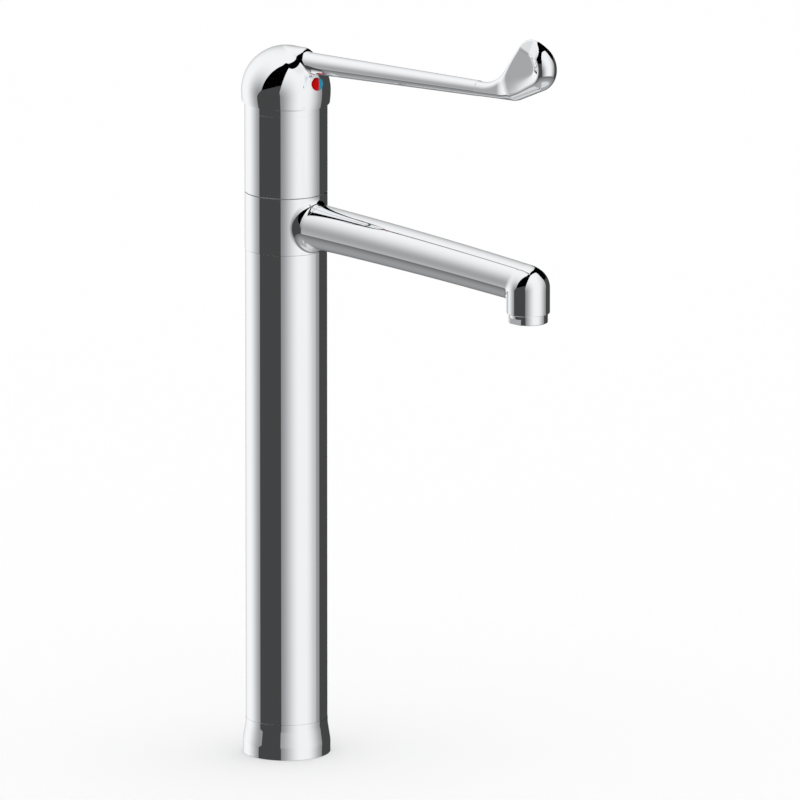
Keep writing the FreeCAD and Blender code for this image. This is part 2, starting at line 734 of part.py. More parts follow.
def hub_outer():
    centre = PIVOT_Z + HUB_CENTRE
    edge = PIVOT_Z + HUB_EDGE - HUB_EDGE_R * math.tan(math.radians(HUB_EDGE_SLOPE)) - 1
    inset = HUB_R - HUB_EDGE_R
    drop = HUB_CENTRE - HUB_EDGE
    side_mid = (HUB_R - inset / 4, centre - drop / 2)
    side_end = (HUB_EDGE_R, centre - drop)
    half = HUB_R * math.sqrt(0.5)
    edges = [arc((0, centre + HUB_R), (half, centre + half), (HUB_R, centre))]
    edges.append(arc((HUB_R, centre), side_mid, side_end))
    edges += [line(side_end, (HUB_EDGE_R, edge)), line((HUB_EDGE_R, edge), (0, edge))]
    edges.append(line((0, edge), (0, centre + HUB_R)))
    return turned(edges)


def hub_cavity():
    centre = PIVOT_Z + HUB_CENTRE
    bore = COLLAR_R + HUB_GAP
    return cyl(bore, PIVOT_Z - BARREL_R, centre).fuse(Part.makeSphere(bore, V(0, 0, centre)))


def under_hub():
    wide = 3 * HUB_R
    block = slab(-wide, wide, -wide, wide, PIVOT_Z + HUB_EDGE - wide, PIVOT_Z + HUB_EDGE)
    block.rotate(V(0, 0, PIVOT_Z + HUB_EDGE), V(0, 1, 0), HUB_EDGE_SLOPE)
    return block


def rod_point(x):
    return V(x, 0, PIVOT_Z + ROD_AXIS + x * math.tan(math.radians(ROD_SLOPE)))


def ellipse_wire(x, z, half_y, half_z):
    curve = Part.Ellipse(V(x, half_y, z), V(x, 0, z + half_z), V(x, 0, z))
    return Part.Wire([curve.toShape()])


def lever_root():
    wires = []
    for x, half_y, half_z, drop in ROOT_SECTIONS:
        wires.append(ellipse_wire(x, rod_point(x).z - drop, half_y, half_z))
    return Part.makeLoft(wires, True, False)


def lever_rod():
    start = rod_point(ROD_START_X)
    end = rod_point(ROD_END_X + PADDLE_OVERLAP)
    axis = end - start
    return Part.makeCone(ROD_R_ROOT, ROD_R_END, axis.Length, start, axis)


def paddle_point(back, below):
    top = rod_point(ROD_END_X).z + PADDLE_RISE
    return PADDLE_NOSE_X - back, top - below


def paddle_outline():
    rod_z = rod_point(ROD_END_X).z
    neck = [(ROD_END_X + x, rod_z + z) for x, z in PADDLE_NECK]
    head = [paddle_point(back, below) for back, below in PADDLE_HEAD + PADDLE_CHIN]
    low = [(ROD_END_X + x, rod_z + z) for x, z in PADDLE_LOW]
    points = neck + head + low
    curve = Part.BSplineCurve()
    curve.interpolate([V(x, 0, z) for x, z in points])
    closing = line(points[-1], points[0])
    return Part.Wire([curve.toShape(), closing])


def paddle_plan():
    nose = PADDLE_NOSE_X
    x0 = ROD_END_X - PLAN_LEAD
    r0 = ROD_R_END
    full = PADDLE_HALF
    x1 = nose - full
    swell = x1 - PLAN_FLAT
    side = [(x0, r0), (ROD_END_X + PLAN_NECK[0], r0 + PLAN_NECK[1])]
    side += [(swell - PLAN_SWELL[0], full - PLAN_SWELL[1]), (swell, full)]
    left = Part.BSplineCurve()
    left.interpolate([V(x, y, 0) for x, y in side])
    right = Part.BSplineCurve()
    right.interpolate([V(x, -y, 0) for x, y in reversed(side)])
    tip = Part.Arc(V(x1, full, 0), V(nose, 0, 0), V(x1, -full, 0))
    edges = [left.toShape(), Part.LineSegment(V(swell, full, 0), V(x1, full, 0)).toShape(), tip.toShape()]
    edges.append(Part.LineSegment(V(x1, -full, 0), V(swell, -full, 0)).toShape())
    edges.append(right.toShape())
    edges.append(Part.LineSegment(V(x0, -r0, 0), V(x0, r0, 0)).toShape())
    face = Part.Face(Part.Wire(edges))
    face.translate(V(0, 0, PIVOT_Z))
    return face.extrude(V(0, 0, 3 * HUB_R))


def paddle_pocket(side):
    start, rear, crest, arc_start = [paddle_point(*p) for p in POCKET_BACK]
    arc_mid, arc_end = [paddle_point(*p) for p in POCKET_ARC]
    front = paddle_point(*POCKET_FRONT)
    edges = [line(start, rear), line(rear, crest), line(crest, arc_start)]
    edges.append(arc(arc_start, arc_mid, arc_end))
    edges += [line(arc_end, front), line(front, start)]
    face = Part.Face(Part.Wire(edges))
    if side > 0:
        face.translate(V(0, PADDLE_WEB_HALF, 0))
    else:
        face.translate(V(0, -PADDLE_WEB_HALF, 0))
    return face.extrude(V(0, side * PADDLE_HALF, 0))


def lever_paddle():
    blade = Part.Face(paddle_outline()).extrude(V(0, 2 * PADDLE_HALF, 0))
    blade.translate(V(0, -PADDLE_HALF, 0))
    blade = blade.makeFillet(PADDLE_FILLET, side_edges(blade))
    blade = blade.common(paddle_plan())
    return blade.cut([paddle_pocket(-1), paddle_pocket(1)])


def side_edges(blade):
    wanted = []
    for edge in blade.Edges:
        box = edge.BoundBox
        if box.YLength < 0.01 and box.XLength > 5:
            wanted.append(edge)
    return wanted


def stem_boss():
    boss = lean(cyl(BOSS_R, PIVOT_Z + BOSS_CLEAR, PIVOT_Z + 2 * HUB_R))
    grub = rod_along(GRUB_BOSS_R, V(0, 0, PIVOT_Z + BUTTON_Z), V(1, 0, 0), 2 * HUB_R)
    return merge(boss, grub)


def stem_socket():
    half = STEM_HALF + FIT
    return lean(slab(-half, half, -half, half, PIVOT_Z, PIVOT_Z + STEM_TOP + FIT))


def lever_handle():
    outer = merge(hub_outer(), lever_root(), lever_rod(), lever_paddle())
    cavity = hub_cavity().cut(stem_boss())
    return outer.cut([cavity, under_hub(), stem_socket(), button_recess(), grub_hole()])


def button_recess():
    start = V(BUTTON_X - BUTTON_H, 0, PIVOT_Z + BUTTON_Z)
    return rod_along(BUTTON_R + FIT, start, V(1, 0, 0), BUTTON_H + 1)


def grub_start():
    top = math.radians(STEM_LEAN)
    return (BUTTON_Z * math.sin(top) + STEM_HALF) / math.cos(top) + FIT


def grub_hole():
    start = V(grub_start() - GRUB_R, 0, PIVOT_Z + BUTTON_Z)
    return rod_along(GRUB_R, start, V(1, 0, 0), BUTTON_X)


def handle_grub_screw():
    out = V(1, 0, 0)
    start = V(grub_start() + GRUB_R * math.tan(math.radians(STEM_LEAN)), 0, PIVOT_Z + BUTTON_Z)
    body = rod_along(GRUB_R - FIT, start, out, GRUB_L)
    return body.cut(hexagon(GRUB_R, start + out * (GRUB_L - HEX_DEPTH), out, HEX_DEPTH + 1))


def index_half(side):
    floor_x = BUTTON_X - BUTTON_H
    face_r = (BUTTON_R ** 2 + BUTTON_CROWN ** 2) / (2 * BUTTON_CROWN)
    body = rod_along(BUTTON_R, V(floor_x, 0, PIVOT_Z + BUTTON_Z), V(1, 0, 0), BUTTON_H)
    crown = Part.makeSphere(face_r, V(BUTTON_X - face_r, 0, PIVOT_Z + BUTTON_Z))
    body = body.common(crown)
    z0 = PIVOT_Z + BUTTON_Z - 2 * BUTTON_R
    z1 = PIVOT_Z + BUTTON_Z + 2 * BUTTON_R
    if side < 0:
        return body.common(slab(0, 2 * BUTTON_X, -2 * BUTTON_R, 0, z0, z1))
    return body.common(slab(0, 2 * BUTTON_X, 0, 2 * BUTTON_R, z0, z1))


def all_nodes():
    return {
        "base_ring": base_ring(),
        "base_gasket": base_gasket(),
        "inlet_block": inlet_block(),
        "column_clamp_screws": clamp_screws(),
        "column_tube": column_tube(),
        "hot_supply_tube": supply_tube(-1),
        "cold_supply_tube": supply_tube(1),
        "supply_o_rings": supply_o_rings(),
        "valve_body": valve_body(),
        "spout_seals": spout_seals(),
        "swivel_stop_pin": swivel_stop_pin(),
        "lower_glide_ring": lower_glide_ring(),
        "upper_glide_ring": upper_glide_ring(),
        "clamp_ring": clamp_ring(),
        "spout": spout(),
        "aerator_housing": aerator_housing(),
        "aerator_insert": aerator_insert(),
        "aerator_mesh": aerator_mesh(),
        "aerator_seal": aerator_seal(),
        "upper_sleeve": upper_sleeve(),
        "cartridge_nut": cartridge_nut(),
        "crown_cap": crown_cap(),
        "cartridge_shell": cartridge_shell(),
        "cartridge_base": cartridge_base(),
        "cartridge_port_seals": port_seals(),
        "fixed_disc": fixed_disc(),
        "moving_disc": moving_disc(),
        "disc_carrier": disc_carrier(),
        "cartridge_rotor": cartridge_rotor(),
        "stem_pivot_pin": stem_pivot_pin(),
        "stem": stem(),
        "lever_handle": lever_handle(),
        "handle_grub_screw": handle_grub_screw(),
        "index_button_hot": index_half(-1),
        "index_button_cold": index_half(1),
    }


def main():
    os.makedirs("parts", exist_ok=True)
    for name, shape in all_nodes().items():
        shape.exportStep("parts/" + name + ".step")


main()
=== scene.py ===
import json
import math
import bpy
import numpy as np
from mathutils import Matrix, Vector


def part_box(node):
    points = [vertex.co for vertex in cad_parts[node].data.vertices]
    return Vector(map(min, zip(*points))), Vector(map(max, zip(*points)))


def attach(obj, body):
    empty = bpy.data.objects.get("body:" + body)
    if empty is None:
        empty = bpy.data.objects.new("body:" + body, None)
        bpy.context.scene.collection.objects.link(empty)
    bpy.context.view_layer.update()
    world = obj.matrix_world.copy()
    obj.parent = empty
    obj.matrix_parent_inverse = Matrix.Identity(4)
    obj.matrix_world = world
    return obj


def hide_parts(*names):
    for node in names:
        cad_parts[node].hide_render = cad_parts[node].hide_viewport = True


# Hospital mixer tap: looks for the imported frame. Metres, +Z up, +X towards the outlet.
# Shapes are worked out in millimetres and scaled by MM.

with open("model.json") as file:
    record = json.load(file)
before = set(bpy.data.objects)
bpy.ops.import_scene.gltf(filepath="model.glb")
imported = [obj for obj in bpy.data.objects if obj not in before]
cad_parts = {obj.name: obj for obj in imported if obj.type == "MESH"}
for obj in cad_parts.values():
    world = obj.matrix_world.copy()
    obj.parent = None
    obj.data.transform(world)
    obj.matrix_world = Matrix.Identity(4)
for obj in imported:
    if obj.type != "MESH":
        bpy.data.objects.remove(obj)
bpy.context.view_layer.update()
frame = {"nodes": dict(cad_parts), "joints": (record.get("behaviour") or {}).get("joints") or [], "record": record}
MM = 0.001

# Camera, found from the photograph's ellipses and slopes
CAMERA_AT = Vector((9.892, -10.244, 3.6615))
CAMERA_YAW = math.radians(0.2807)
CAMERA_PITCH = math.radians(13.584)
OBJECT_TURN = math.radians(46.0)
CAMERA_LENS = 1080.0
CAMERA_SENSOR = 36.0
CAMERA_CLIP = (1.0, 100.0)


def from_view_frame(right, away, up):
    """A direction given as right, away and up of the photographer, in the object's own frame."""
    x = math.sin(OBJECT_TURN) * right - math.cos(OBJECT_TURN) * away
    y = math.cos(OBJECT_TURN) * right + math.sin(OBJECT_TURN) * away
    return Vector((x, y, up))


def make_camera():
    """The photographer's camera, as the scene's camera."""
    level = math.cos(CAMERA_PITCH)
    sine = math.sin(CAMERA_YAW)
    cosine = math.cos(CAMERA_YAW)
    forward = from_view_frame(sine * level, cosine * level, -math.sin(CAMERA_PITCH))
    right = from_view_frame(cosine, -sine, 0.0)
    up = right.cross(forward)
    data = bpy.data.cameras.new("camera")
    data.lens = CAMERA_LENS
    data.sensor_width = CAMERA_SENSOR
    data.clip_start, data.clip_end = CAMERA_CLIP
    camera = bpy.data.objects.new("camera", data)
    turn = Matrix((right, up, -forward)).transposed().to_4x4()
    camera.matrix_world = Matrix.Translation(CAMERA_AT) @ turn
    bpy.context.scene.collection.objects.link(camera)
    bpy.context.scene.camera = camera


# Node helpers. Blender's mix node has one pair of sockets for each kind of value.
MIX_FLOATS = (2, 3)
MIX_COLOURS = (6, 7)
MIX_COLOUR_OUT = 2


class Tree:
    """Short calls for building a node tree."""

    def __init__(self, tree):
        self.tree = tree
        tree.nodes.clear()

    def add(self, kind, **settings):
        """A new node with those properties."""
        node = self.tree.nodes.new(kind)
        for name, value in settings.items():
            setattr(node, name, value)
        return node

    def link(self, source, target):
        self.tree.links.new(source, target)

    def put(self, value, socket):
        """Sets a number on the socket, or links an output to it."""
        if isinstance(value, (int, float)):
            socket.default_value = value
        else:
            self.link(value, socket)

    def math(self, operation, a, b=0.0, clamp=False):
        node = self.add("ShaderNodeMath", operation=operation, use_clamp=clamp)
        self.put(a, node.inputs[0])
        self.put(b, node.inputs[1])
        return node.outputs[0]

    def ramp01(self, value, low, high, smooth=True):
        """0 where the value is at low, 1 at high, and held past both."""
        node = self.add("ShaderNodeMapRange")
        node.interpolation_type = "SMOOTHSTEP" if smooth else "LINEAR"
        node.clamp = True
        self.put(value, node.inputs["Value"])
        self.put(low, node.inputs["From Min"])
        self.put(high, node.inputs["From Max"])
        return node.outputs["Result"]

    def mix(self, factor, a, b):
        """a where the factor is 0, b where it is 1."""
        node = self.add("ShaderNodeMix", data_type="FLOAT")
        self.put(factor, node.inputs[0])
        self.put(a, node.inputs[MIX_FLOATS[0]])
        self.put(b, node.inputs[MIX_FLOATS[1]])
        return node.outputs[0]

    def slant(self, a, b, slopes):
        """a and b added, each times its slope."""
        return self.math("ADD", self.math("MULTIPLY", a, slopes[0]), self.math("MULTIPLY", b, slopes[1]))


# Studio: a white wall in front (+X) and one behind (-X), with dark gaps between them at both
# sides and overhead, over a grey floor. Edges are slopes x/y and x/z of the reflected ray's
# direction, and each pair named _Z holds the ray's heights between which something changes.
FRONT_EDGE_SIDE = 0.50            # the front wall's side edges
FRONT_EDGE_SIDE_LOW = 0.554       # and lower down
FRONT_EDGE_Z = (0.1, -0.1)
FRONT_TOP_RISE = 0.25             # its upper edge
FRONT_TOP_LEAN = 0.24
FRONT_CORNER = (1.22, -0.84)      # its upper corner on the far side, along y and z
BACK_EDGE_SIDE = 0.42             # the back wall's near edge
BACK_EDGE_SIDE_LOW = 0.73
BACK_EDGE_Z = (0.1, -0.25)
BACK_EDGE_RISE = 0.06
BACK_CORNER_RISE = 0.25
BACK_FAR_EDGES = ((-0.87, 0.7), (-0.695, 0.284), (-0.45, 0.1))    # its far edges, along y and z
EDGE_BLUR = 0.006
WALL_EDGE_TONE = 0.25
FRONT_TONE = 0.90
BACK_TONE = 0.94
WALL_MIDDLE = math.radians(8)     # brightest within this angle of a wall's middle
FRONT_SIDE = math.radians(66)     # and darkest past these
BACK_SIDE = math.radians(62)
WALL_HIGH_TONE = 0.92
WALL_HIGH_Z = (-0.2, 1.0)
GAP_LOW_TONE = 0.058
GAP_TOP = 0.2
GAP_TOP_SLOPE = 0.375
GAP_TOP_BLUR = 0.02
FLOOR_FAR_TONE = 0.11             # where the walls stand on it
FLOOR_NEAR_TONE = 0.38            # close to the object
FLOOR_WALL_TONE = 0.68            # and there in front of a wall
FLOOR_EDGE_Z = (-0.45, -0.5)
FLOOR_TONE_Z = (-0.45, -0.8)
FLOOR_WALL_Z = (-0.76, -0.86)


def wall_tones(t, x, y, z):
    """Each wall is brightest at its middle, and more even higher up."""
    side = t.math("ABSOLUTE", y)
    front_angle = t.math("ARCTAN2", side, x)
    front_fall = t.ramp01(front_angle, FRONT_SIDE, WALL_MIDDLE)
    front = t.mix(front_fall, WALL_EDGE_TONE, FRONT_TONE)
    back_angle = t.math("ARCTAN2", side, t.math("MULTIPLY", x, -1.0))
    back_fall = t.ramp01(back_angle, BACK_SIDE, WALL_MIDDLE)
    back = t.mix(back_fall, WALL_EDGE_TONE, BACK_TONE)
    level = t.mix(t.math("LESS_THAN", x, 0.0), front, back)
    return t.mix(t.ramp01(z, *WALL_HIGH_Z), level, WALL_HIGH_TONE)


def front_wall(t, x, y, z):
    """1 where the ray meets the front wall."""
    high = t.math("MAXIMUM", z, 0.0)
    slope = t.mix(t.ramp01(z, *FRONT_EDGE_Z), FRONT_EDGE_SIDE, FRONT_EDGE_SIDE_LOW)
    across = t.math("MULTIPLY", y, slope)
    top = t.math("MULTIPLY", high, FRONT_TOP_RISE)
    near_edge = t.math("SUBTRACT", top, across)
    top_edge = t.math("SUBTRACT", top, t.math("MULTIPLY", y, FRONT_TOP_LEAN))
    far_edge = t.math("MINIMUM", across, t.slant(y, high, FRONT_CORNER))
    line = t.math("MAXIMUM", t.math("MAXIMUM", near_edge, top_edge), far_edge)
    return t.ramp01(t.math("SUBTRACT", x, line), -EDGE_BLUR, EDGE_BLUR)


def back_wall(t, x, y, z):
    """1 where the ray meets the back wall."""
    high = t.math("MAXIMUM", z, 0.0)
    slope = t.mix(t.ramp01(z, *BACK_EDGE_Z), BACK_EDGE_SIDE, BACK_EDGE_SIDE_LOW)
    side = t.math("MULTIPLY", t.slant(y, high, (1.0, BACK_CORNER_RISE)), -1.0)
    side = t.math("MULTIPLY", t.math("MAXIMUM", side, 0.0), slope)
    near_line = t.math("SUBTRACT", t.math("MULTIPLY", high, BACK_EDGE_RISE), side)
    far_line = t.slant(y, high, BACK_FAR_EDGES[0])
    for edge in BACK_FAR_EDGES[1:]:
        far_line = t.math("MINIMUM", far_line, t.slant(y, high, edge))
    line = t.mix(t.math("LESS_THAN", y, 0.0), far_line, near_line)
    return t.ramp01(t.math("SUBTRACT", line, x), -EDGE_BLUR, EDGE_BLUR)


def make_world():
    """The studio as seen in polished surfaces, and plain white light for everything else."""
    world = bpy.data.worlds.new("studio")
    bpy.context.scene.world = world
    world.use_nodes = True
    t = Tree(world.node_tree)
    place = t.add("ShaderNodeTexCoord")
    parts = t.add("ShaderNodeSeparateXYZ")
    t.link(place.outputs["Generated"], parts.inputs[0])
    x, y, z = parts.outputs
    front = front_wall(t, x, y, z)
    wall = t.math("ADD", front, back_wall(t, x, y, z), clamp=True)
    # The gap is black above and dark grey below
    gap_top = t.math("ADD", t.math("MULTIPLY", x, GAP_TOP_SLOPE), GAP_TOP)
    gap_above = t.ramp01(t.math("SUBTRACT", z, gap_top), -GAP_TOP_BLUR, GAP_TOP_BLUR)
    gap = t.mix(gap_above, GAP_LOW_TONE, 0.0)
    tone = t.mix(wall, gap, wall_tones(t, x, y, z))
    by_wall = t.math("MULTIPLY", wall, t.ramp01(z, *FLOOR_WALL_Z))
    near = t.mix(by_wall, FLOOR_NEAR_TONE, FLOOR_WALL_TONE)
    floor = t.mix(t.ramp01(z, *FLOOR_TONE_Z, smooth=False), FLOOR_FAR_TONE, near)
    studio = t.mix(t.ramp01(z, *FLOOR_EDGE_Z), tone, floor)
    # Polished surfaces see the studio; the camera and soft light see plain white
    rays = t.add("ShaderNodeLightPath")
    seen = t.math("ADD", rays.outputs["Is Glossy Ray"], rays.outputs["Is Transmission Ray"], clamp=True)
    background = t.add("ShaderNodeBackground")
    t.put(t.mix(seen, 1.0, studio), background.inputs["Strength"])
    out = t.add("ShaderNodeOutputWorld")
    t.link(background.outputs[0], out.inputs["Surface"])
    background.inputs["Color"].default_value = (1.0, 1.0, 1.0, 1.0)


# Shapes as distance functions: millimetres, negative inside
TINY = 1e-9               # keeps a division or a direction from failing
NEAR_PARALLEL = 1e-4      # least squared sine between two surfaces that a fillet joins


def smooth_union(a, b, width):
    """Union that swells softly where both surfaces are within that width."""
    near = np.maximum(width - np.abs(a - b), 0.0) / width
    return np.minimum(a, b) - near * near * width / 4


def ball_union(a, b, cosine, radius):
    """Union with a rolling ball's fillet, where the two surfaces' normals meet at that cosine."""
    to_a = np.maximum(radius - a, 0.0)
    to_b = np.maximum(radius - b, 0.0)
    span = to_a * to_a + to_b * to_b - 2 * cosine * to_a * to_b
    reach = np.sqrt(span / np.maximum(1.0 - cosine * cosine, NEAR_PARALLEL))
    between = (to_a > cosine * to_b) & (to_b > cosine * to_a)
    return np.where(between, radius - reach, np.minimum(a, b))


def round_common(a, b, radius):
    """What both shapes share, with its edge rounded to that radius."""
    edge = np.hypot(np.maximum(radius + a, 0.0), np.maximum(radius + b, 0.0))
    return np.minimum(-radius, np.maximum(a, b)) + edge


def ease(value, low, high):
    """0 at low, 1 at high, smooth between."""
    t = np.clip((value - low) / (high - low), 0.0, 1.0)
    return t * t * (3 - 2 * t)


def part_way(pair, share):
    """The pair's first value where the share is 0, its second where it is 1."""
    return pair[0] + (pair[1] - pair[0]) * share


class Outline:
    """Closed outline of straight runs and tangent arcs, from corners (u, v, radius), anticlockwise."""

    def __init__(self, corners):
        self.runs = []
        self.arcs = []
        places = [np.array(corner[:2], float) for corner in corners]
        count = len(places)
        ends = []
        for i in range(count):
            here = places[i]
            back = places[i - 1] - here
            ahead = places[(i + 1) % count] - here
            back = back / np.linalg.norm(back)
            ahead = ahead / np.linalg.norm(ahead)
            half = math.acos(np.clip(back @ ahead, -1, 1)) / 2
            radius = corners[i][2]
            reach = radius / math.tan(half)
            middle = (back + ahead) / np.linalg.norm(back + ahead)
            outward = 1.0 if back[1] * ahead[0] - back[0] * ahead[1] > 0 else -1.0
            centre = here + middle * radius / math.sin(half)
            self.arcs.append((centre, radius, -middle, math.pi / 2 - half, outward))
            ends.append((here + back * reach, here + ahead * reach))
        for i in range(count):
            self.runs.append((ends[i][1], ends[(i + 1) % count][0]))

    def distance(self, u, v):
        """Signed distance of each point, negative inside."""
        best = np.full(np.broadcast(u, v).shape, np.inf)
        for start, end in self.runs:
            along = end - start
            length = np.linalg.norm(along)
            if length < TINY:
                continue
            along = along / length
            du = u - start[0]
            dv = v - start[1]
            on = np.clip(du * along[0] + dv * along[1], 0.0, length)
            off = np.hypot(du - on * along[0], dv - on * along[1])
            side = np.where(along[0] * dv - along[1] * du > 0, -1.0, 1.0)
            best = np.where(off < np.abs(best), off * side, best)
        for centre, radius, middle, half, outward in self.arcs:
            du = u - centre[0]
            dv = v - centre[1]
            reach = np.hypot(du, dv)
            inside_arc = du * middle[0] + dv * middle[1] >= reach * math.cos(half)
            off = (reach - radius) * outward
            best = np.where(inside_arc & (np.abs(off) < np.abs(best)), off, best)
        return best

    def trace(self, steps):
        """Points along the outline and its outward normals there, with that many steps in each arc."""
        points = []
        normals = []
        for centre, radius, middle, half, outward in self.arcs:
            for i in range(steps + 1):
                turn = half * (2 * i / steps - 1) * outward
                cosine = math.cos(turn)
                sine = math.sin(turn)
                out_u = middle[0] * cosine - middle[1] * sine
                out_v = middle[0] * sine + middle[1] * cosine
                out = np.array((out_u, out_v))
                points.append(centre + out * radius)
                normals.append(out * outward)
        return np.array(points), np.array(normals)


# Meshes from shapes
BLOCK = 8             # lattice cells along each side of a block
BLOCK_REACH = 1.15    # a block is left out when its middle is this many block sides from the surface
HALVINGS = 14         # steps to find where the surface cuts a lattice edge
NORMAL_REACH = 0.002  # normals are read over this distance
MESH_MARGIN = 3.0     # room left round a piece's CAD box
TURN_SEGMENTS = 192   # round the axis of a turned piece
EDGE_SHARE = 0.05     # a direction counts as bent where it holds this share of a cell's normals
SAME_FACE = 0.985     # mean normal's length above which a cell lies on one smooth face
CORNER_SHIFT = 0.25   # shading at an edge is read this far towards each face's middle


def grid(counts):
    """Every index triple below those counts."""
    return np.stack(np.meshgrid(*[np.arange(n) for n in counts], indexing="ij"), -1)


def gradient(distance, points):
    """Unit normals of the distance function at points given as columns."""
    parts = []
    for axis in range(3):
        shift = np.zeros((3, 1))
        shift[axis] = NORMAL_REACH
        parts.append(distance(points + shift) - distance(points - shift))
    normals = np.array(parts)
    return normals / np.maximum(np.linalg.norm(normals, axis=0), TINY)


def lattice_crossings(distance, low, high, step):
    """Lattice edges that the surface crosses: lower end, axis, and whether that end is inside."""
    counts = np.ceil((high - low) / (step * BLOCK)).astype(int)
    blocks = BLOCK * grid(counts).reshape(-1, 3)
    middle = low + step * (blocks + BLOCK / 2)
    blocks = blocks[np.abs(distance(middle.T)) < BLOCK_REACH * step * BLOCK]
    corners = blocks[:, None, None, None] + grid((BLOCK + 1,) * 3)
    inside = distance(np.moveaxis(low + step * corners, -1, 0)) < 0
    own = (slice(None),) + (slice(0, BLOCK),) * 3
    found = []
    for axis in range(3):
        ahead = [slice(None)] + [slice(0, BLOCK)] * 3
        ahead[axis + 1] = slice(1, BLOCK + 1)
        crossed = inside[own] != inside[tuple(ahead)]
        starts = corners[own][crossed]
        found.append((starts, np.full(len(starts), axis), inside[own][crossed]))
    return [np.concatenate(part) for part in zip(*found)]


def crossing_points(distance, low, step, starts, axes, inside):
    """Where the surface cuts each lattice edge, as columns."""
    base = (low + step * starts).T
    along = np.eye(3)[axes].T
    near = np.zeros(len(axes))
    far = np.full(len(axes), step)
    for _ in range(HALVINGS):
        middle = (near + far) / 2
        same = (distance(base + along * middle) < 0) == inside
        near = np.where(same, middle, near)
        far = np.where(same, far, middle)
    return base + along * (near + far) / 2


def cells_round(starts, axes):
    """The four lattice cells round each crossed edge, in turn about the edge's axis."""
    u = np.eye(3, dtype=int)[(axes + 1) % 3]
    v = np.eye(3, dtype=int)[(axes + 2) % 3]
    return np.stack([starts, starts - u, starts - u - v, starts - v], 1)


def settle_points(cell_of, middles, points, normals, step):
    """One point for each cell, where the tangent planes at its crossings meet."""
    count = len(middles)

    def total(values):
        return np.bincount(cell_of, weights=values, minlength=count)

    place = np.repeat(points, 4, axis=1) - middles[cell_of].T
    normal = np.repeat(normals, 4, axis=1)
    number = total(np.ones(len(cell_of)))
    mean = np.array([total(place[i]) for i in range(3)]) / number
    reach = (normal * place).sum(0)
    square = np.array([[total(normal[i] * normal[j]) for j in range(3)] for i in range(3)])
    pull = np.array([total(normal[i] * reach) for i in range(3)])
    square = np.moveaxis(square, -1, 0)
    rest = pull.T - (square @ mean.T[:, :, None])[:, :, 0]
    size, turn = np.linalg.eigh(square)
    inverse = np.where(size > EDGE_SHARE * size[:, 2:], 1.0 / np.maximum(size, TINY), 0.0)
    local = (turn.transpose(0, 2, 1) @ rest[:, :, None])[:, :, 0] * inverse
    move = (turn @ local[:, :, None])[:, :, 0]
    settled = np.clip(mean.T + move, -step / 2, step / 2)
    spread = np.linalg.norm([total(normal[i]) for i in range(3)], axis=0) / number
    return middles + settled, spread > SAME_FACE


def surface_mesh(distance, low, high, step):
    """Points, quads and corner normals of the surface where the distance is zero, edges kept sharp."""
    low = np.array(low, float)
    high = np.array(high, float)
    starts, axes, inside = lattice_crossings(distance, low, high, step)
    points = crossing_points(distance, low, step, starts, axes, inside)
    normals = gradient(distance, points)
    cells = cells_round(starts, axes).reshape(-1, 3)
    cells, cell_of = np.unique(cells, axis=0, return_inverse=True)
    cell_of = cell_of.reshape(-1)
    middles = low + step * (cells + 0.5)
    settled, smooth = settle_points(cell_of, middles, points, normals, step)
    facing = gradient(distance, settled.T).T
    settled = settled - np.where(smooth, distance(settled.T), 0.0)[:, None] * facing
    quads = cell_of.reshape(-1, 4)
    quads = np.where(inside[:, None], quads, quads[:, ::-1])
    corner = settled[quads]
    toward = corner.mean(1, keepdims=True) - corner
    edge = ~smooth[quads]
    shading = facing[quads]
    shifted = corner[edge] + CORNER_SHIFT * toward[edge]
    shading[edge] = gradient(distance, shifted.T).T
    return settled, quads, shading.reshape(-1, 3)


def lathe_mesh(outline, segments, arc_steps):
    """Points, quads and corner normals of a profile (radius, z) turned about the Z axis."""
    profile, normals = outline.trace(arc_steps)
    count = len(profile)
    turn = 2 * np.pi * np.arange(segments) / segments
    cosine = np.cos(turn)[:, None]
    sine = np.sin(turn)[:, None]
    level = np.ones_like(turn)[:, None]

    def spin(pairs):
        return np.stack([cosine * pairs[:, 0], sine * pairs[:, 0], level * pairs[:, 1]], -1).reshape(-1, 3)

    i, j = [part.reshape(-1) for part in np.meshgrid(np.arange(segments), np.arange(count), indexing="ij")]
    i_next = (i + 1) % segments
    j_next = (j + 1) % count
    quads = np.stack([i * count + j, i_next * count + j, i_next * count + j_next, i * count + j_next], 1)
    shading = spin(normals)[quads]
    return spin(profile), quads, shading.reshape(-1, 3)


def new_piece(name, mesh_parts, node, material):
    """A piece in place of a CAD node, with exact shading normals."""
    points, quads, normals = mesh_parts
    mesh = bpy.data.meshes.new(name)
    mesh.vertices.add(len(points))
    mesh.vertices.foreach_set("co", (points * MM).astype(np.float32).ravel())
    mesh.loops.add(quads.size)
    mesh.loops.foreach_set("vertex_index", quads.ravel().astype(np.int32))
    mesh.polygons.add(len(quads))
    mesh.polygons.foreach_set("loop_start", np.arange(0, quads.size, 4, dtype=np.int32))
    mesh.polygons.foreach_set("use_smooth", np.ones(len(quads), dtype=bool))
    mesh.update(calc_edges=True)
    mesh.normals_split_custom_set(normals)
    mesh.materials.append(material)
    piece = bpy.data.objects.new(name, mesh)
    bpy.context.scene.collection.objects.link(piece)
    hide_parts(node)
    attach(piece, body_of(node))


def body_of(node):
    """The moving body that the CAD node belongs to."""
    for body, members in frame["record"]["behaviour"]["bodies"].items():
        if node in members:
            return body
    raise ValueError(node)


def box_mm(node):
    """Lowest and highest corner of a CAD node."""
    low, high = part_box(node)
    return np.array(low) / MM, np.array(high) / MM


def shaped_piece(name, node, distance, step, margin, material):
    """A chrome piece meshed from a distance function, in the CAD node's box with a margin round it."""
    low, high = box_mm(node)
    mesh_parts = surface_mesh(distance, low - margin, high + margin, step)
    new_piece(name, mesh_parts, node, material)


